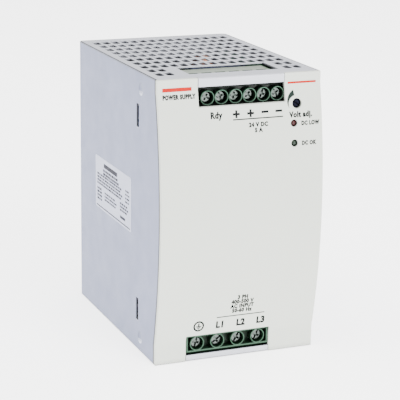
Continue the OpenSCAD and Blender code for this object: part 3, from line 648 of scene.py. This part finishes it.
def terminal_marks():
    """Signs beside the terminals: ready contact, output poles, protective earth and three phases."""
    marks = [lettering("Rdy", from_left(25.5), 108.3 * MM, 2.5 * MM, 0.86, 0.055)]
    pole, weight = 3.2 * MM, 0.95 * MM
    marks += [plus(from_left(x), 108.2 * MM, pole, weight) for x in (34.6, 41.1)]
    marks += [minus(from_left(x), 108.4 * MM, pole, weight) for x in (47.7, 54.1)]
    marks.append(bar(from_left(33), from_left(56), 105.7 * MM, 106.2 * MM))
    earth_x, earth_z = from_left(19.4), 16.1 * MM
    marks.append(ring(earth_x, earth_z, 1.75 * MM, 2.5 * MM))
    marks.append(bar(earth_x - 0.32 * MM, earth_x + 0.32 * MM, earth_z + 0.1 * MM, earth_z + 1.4 * MM))
    for half, rise in ((1.25, -0.1), (0.8, -0.72), (0.35, -1.3)):
        middle = earth_z + rise * MM
        marks.append(bar(earth_x - half * MM, earth_x + half * MM, middle - 0.23 * MM, middle + 0.23 * MM))
    marks += [lettering(text, from_left(x), 15.8 * MM, 2.9 * MM, 0.9, 0.06)
              for text, x in (("L1", 29.4), ("L2", 39.0), ("L3", 48.5))]
    marks.append(bar(from_left(27.5), from_left(50), 19.1 * MM, 19.55 * MM))
    return marks


def small_text():
    """Plain functional words: what each end carries, the trimmer and the lamps."""
    lines = [lettering(text, from_left(44.5), z * MM, 1.65 * MM, 0.9, 0.068)
             for text, z in (("24 V DC", 103.4), ("5 A", 101.1))]
    lines.append(lettering("Volt adj.", from_left(64.3), 106.4 * MM, 2.2 * MM, 0.86, 0.06))
    lines += [lettering(text, from_left(64.4), z * MM, 1.6 * MM, 0.8, 0.075, "LEFT")
              for text, z in (("DC LOW", 102.6), ("DC OK", 94.2))]
    lines.append(lettering("POWER SUPPLY", from_left(2.3), 116.7 * MM, 1.7 * MM, 0.74, 0.075, "LEFT"))
    for text, z in (("3 PH", 28.0), ("400-500 V", 25.9), ("AC INPUT", 23.8), ("50-60 Hz", 21.7)):
        lines.append(lettering(text, from_left(39), z * MM, 1.65 * MM, 0.9, 0.068))
    return lines


def front_print():
    printed("front_print_dark", terminal_marks() + small_text(), INK_DARK, on_front)
    wedge = [horn(from_left(62.5), 110.7 * MM, 203, 102, 3.7 * MM, 6.1 * MM)]
    printed("front_print_wedge", wedge, INK_GREEN, on_front)
    red = [bar(from_left(2.3), from_left(15.2), 118.9 * MM, 120.5 * MM),
           bar(from_left(58.8), from_left(72), 119.2 * MM, 120.1 * MM)]
    printed("front_print_red", red, INK_RED, on_front)


# ---------------------------------------------------------------- rating label

# Areas of the label's print as shares of its width (from the back end) and height (from the top):
# start, end, top, low, then the line pitch and line height in mm, or two zeros for a solid bar
LABEL_PRINT = [
    (0.24, 0.62, 0.085, 0.165, 0, 0),
    (0.22, 0.66, 0.22, 0.30, 1.6, 1.1),
    (0.05, 0.80, 0.34, 0.56, 1.45, 0.9),
    (0.84, 0.95, 0.30, 0.52, 1.7, 0.8),
    (0.05, 0.18, 0.62, 0.84, 1.6, 1.0),
    (0.26, 0.60, 0.64, 0.80, 1.5, 0.8),
    (0.70, 0.92, 0.60, 0.74, 1.5, 0.9),
    (0.70, 0.84, 0.83, 0.88, 0, 0),
    (0.03, 0.97, 0.945, 0.968, 0, 0),
]


def rating_label():
    """Film label with rows of plain dashes where a real one has its small print."""
    across0, across1 = LABEL_LO.y, LABEL_HI.y
    z0, z1 = LABEL_LO.z, LABEL_HI.z
    radius = 1.0 * MM
    outline = []
    for cx, cz, start in ((across1 - radius, z1 - radius, 0), (across0 + radius, z1 - radius, 90),
                          (across0 + radius, z0 + radius, 180), (across1 - radius, z0 + radius, 270)):
        for k in range(7):
            a = math.radians(start + 15 * k)
            outline.append((cx + radius * math.cos(a), cz + radius * math.sin(a)))
    piece = printed("rating_label_film", [[outline]], MATERIALS["label"], on_left, FILM_LIFT)
    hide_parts("rating_label")
    chance = random.Random(7)
    rows = []

    def dashes(start, end, top, low, pitch, tall):
        """Lines of small print, as broken dashes, from start towards end."""
        z = top
        while z > low:
            a, stop = start, end + chance.uniform(0.0, 0.25) * (start - end)
            while a > stop:
                dash = chance.uniform(0.9, 3.2) * MM
                rows.append(bar(max(a - dash, end), a, z - tall / 2, z + tall / 2))
                a -= dash + chance.uniform(0.35, 0.6) * MM
            z -= pitch

    width, height = across1 - across0, z1 - z0

    def spot(u, v):
        return across1 - u * width, z1 - v * height

    for u0, u1, v0, v1, pitch, tall in LABEL_PRINT:
        (a0, b0), (a1, b1) = spot(u0, v0), spot(u1, v1)
        if pitch:
            dashes(a0, a1, b0, b1, pitch * MM, tall * MM)
        else:
            rows.append(bar(a1, a0, b1, b0))
    printed("rating_label_print", rows, INK_GREY,
            lambda across, up, lift: on_left(across, up, FILM_LIFT + lift))


# ---------------------------------------------------------------- stage

def floor():
    """A pale sweep lit from below, as on a product table, and dark where the case stands."""
    glow = 2.9
    look = Surface("floor_paper", (0.93, 0.93, 0.93), 0.85, specular=0.1)
    look.mottle(0.4, 0.004)
    look.bsdf.inputs["Emission Color"].default_value = (1.0, 1.0, 1.0, 1.0)
    place = look.place()
    under = []
    for k, low, high in ((0, CASE_LO.x + MM, CASE_HI.x - MM), (1, FRONT + MM, CASE_HI.y - MM)):
        away = look.math("ABSOLUTE", look.math("SUBTRACT", place[k], (low + high) / 2))
        under.append(look.math("LESS_THAN", away, (high - low) / 2))
    lit = look.math("SUBTRACT", 1.0, look.math("MULTIPLY", *under))
    look.link(look.math("MULTIPLY", lit, glow), look.bsdf.inputs["Emission Strength"])
    bm = bmesh.new()
    bmesh.ops.create_grid(bm, x_segments=1, y_segments=1, size=4.0)
    obj = mesh_object("floor", bm)
    dress(obj, look.done())


def area_light(name, place, target, size, power, color=(1, 1, 1)):
    """A round light that faces its target."""
    data = bpy.data.lights.new(name, "AREA")
    data.shape = "DISK"
    data.size = size
    data.energy = power
    data.color = color
    obj = bpy.data.objects.new(name, data)
    obj.location = place
    obj.rotation_euler = (Vector(target) - Vector(place)).to_track_quat("-Z", "Y").to_euler()
    bpy.context.scene.collection.objects.link(obj)


def lighting():
    world = bpy.data.worlds.new("studio")
    world.use_nodes = True
    background = world.node_tree.nodes["Background"]
    background.inputs["Color"].default_value = (1.0, 1.0, 1.0, 1.0)
    background.inputs["Strength"].default_value = 1.35
    bpy.context.scene.world = world
    middle = (0, 0, 0.06)
    area_light("key", (0.45, -1.5, 0.75), middle, 1.1, 42.0)
    area_light("top", (-0.2, 0.1, 1.6), middle, 1.4, 26.0)
    area_light("side", (-1.6, -0.2, 0.5), middle, 1.2, 4.0, (0.94, 0.96, 1.0))


def camera():
    """Stands to the left of the front and looks slightly down."""
    yaw, pitch, roll = 0.391, 0.272, 0.015
    forward = Vector((math.sin(yaw) * math.cos(pitch), math.cos(yaw) * math.cos(pitch), -math.sin(pitch)))
    right = Vector((math.cos(yaw), -math.sin(yaw), 0))
    up = right.cross(forward)
    tilted_right = math.cos(roll) * right + math.sin(roll) * up
    tilted_up = math.cos(roll) * up - math.sin(roll) * right
    place = Vector((-0.25268, -0.62385, 0.24086))
    data = bpy.data.cameras.new("camera")
    data.sensor_width = 36
    data.lens = 137.0
    data.shift_x = 0.0007
    data.shift_y = 0.0184
    obj = bpy.data.objects.new("camera", data)
    turn = Matrix((tilted_right, tilted_up, -forward)).transposed()
    obj.matrix_world = Matrix.Translation(place) @ turn.to_4x4()
    bpy.context.scene.collection.objects.link(obj)
    bpy.context.scene.camera = obj


def rounded_pieces():
    """The pieces that are seen close to, each with its own width of rounding."""
    softened("front_cover", 0.35 * MM, segments=3)
    softened("chassis", 0.28 * MM)
    for panel in ("top_vent_panel", "bottom_vent_panel"):
        softened(panel, 0.12 * MM)
    for block in ("output_block", "input_block"):
        softened(block, 0.1 * MM)
    softened("rail_bracket", 0.3 * MM, segments=3)
    softened("rail_latch", 0.2 * MM)
    for node in sorted(frame["nodes"]):
        if "_screw_" in node:
            softened(node, 0.05 * MM, clamp=True)
    softened("trimmer_rotor", 0.06 * MM, clamp=True)


camera()
for node, obj in frame["nodes"].items():
    dress(obj, MATERIALS[SLOT_OF[node]])
rounded_pieces()
latch_spring()
front_print()
rating_label()
floor()
lighting()
